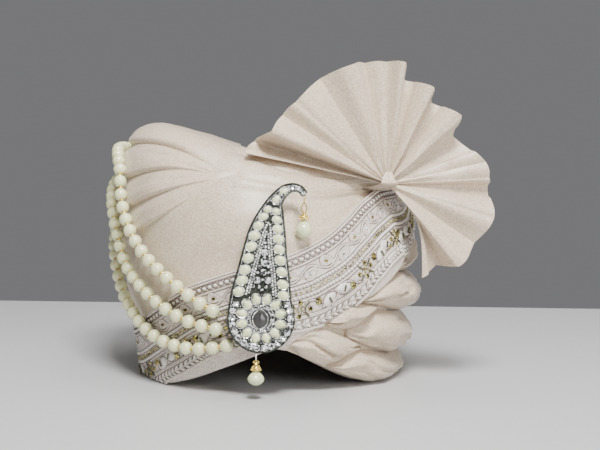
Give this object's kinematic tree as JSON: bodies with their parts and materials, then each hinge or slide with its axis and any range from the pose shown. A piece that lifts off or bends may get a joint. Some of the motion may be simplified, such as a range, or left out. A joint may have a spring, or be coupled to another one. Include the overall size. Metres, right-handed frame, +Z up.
{
  "type": "tied turban",
  "caption": "Ready-tied wedding turban of champagne silk with a pleated cockade, an embroidered border, pearl strands and a jewelled paisley pin.",
  "frame": {"origin": "centre of the head opening, in the plane of the rim that the turban stands on", "axes": "+Z up through the crown, -Y out of the forehead, +X towards the wearer's left"},
  "size_m": [0.2797, 0.2791, 0.2257],
  "materials": {
    "champagne_silk": "satin",
    "embroidered_net": "embroidered",
    "silver_plate": "polished",
    "gold_plate": "polished",
    "pale_jade": "polished",
    "smoke_crystal": "polished",
    "ivory_pearl": "pearl"
  },
  "bodies": {
    "root": {"crown": "champagne_silk", "front_panel": "champagne_silk", "embroidered_border": "embroidered_net", "saddle_fold_low": "champagne_silk", "saddle_fold_high": "champagne_silk", "cockade": "champagne_silk", "cockade_neck": "champagne_silk", "crown_top": "champagne_silk", "pin_plate": "silver_plate", "heart_stone": "smoke_crystal", "lower_jump_ring": "silver_plate", "upper_jump_ring": "gold_plate", "lower_drop": "gold_plate", "upper_drop": "gold_plate", "wing_pleat_1": "champagne_silk", "wing_pleat_2": "champagne_silk", "wing_pleat_3": "champagne_silk", "wing_pleat_4": "champagne_silk", "rim_roll": "champagne_silk", "leaf_roll": "champagne_silk", "temple_roll": "champagne_silk", "cheek_roll": "champagne_silk", "side_roll": "champagne_silk", "upper_roll": "champagne_silk", "pearl_strand_1": "ivory_pearl", "pearl_strand_2": "ivory_pearl", "pearl_strand_3": "ivory_pearl", "petal_stone_01": "pale_jade", "petal_stone_02": "pale_jade", "petal_stone_03": "pale_jade", "petal_stone_04": "pale_jade", "petal_stone_05": "pale_jade", "petal_stone_06": "pale_jade", "petal_stone_07": "pale_jade", "petal_stone_08": "pale_jade", "petal_stone_09": "pale_jade", "petal_stone_10": "pale_jade", "petal_stone_11": "pale_jade", "petal_stone_12": "pale_jade", "flank_stone_right_1": "pale_jade", "flank_stone_right_2": "pale_jade", "flank_stone_right_3": "pale_jade", "flank_stone_right_4": "pale_jade", "flank_stone_right_5": "pale_jade", "flank_stone_right_6": "pale_jade", "flank_stone_right_7": "pale_jade", "flank_stone_right_8": "pale_jade", "flank_stone_right_9": "pale_jade", "flank_stone_left_1": "pale_jade", "flank_stone_left_2": "pale_jade", "flank_stone_left_3": "pale_jade", "flank_stone_left_4": "pale_jade", "flank_stone_left_5": "pale_jade", "flank_stone_left_6": "pale_jade", "flank_stone_left_7": "pale_jade", "flank_stone_left_8": "pale_jade", "flank_stone_left_9": "pale_jade", "hook_stone_1": "pale_jade", "hook_stone_2": "pale_jade"}
  },
  "joints": []
}
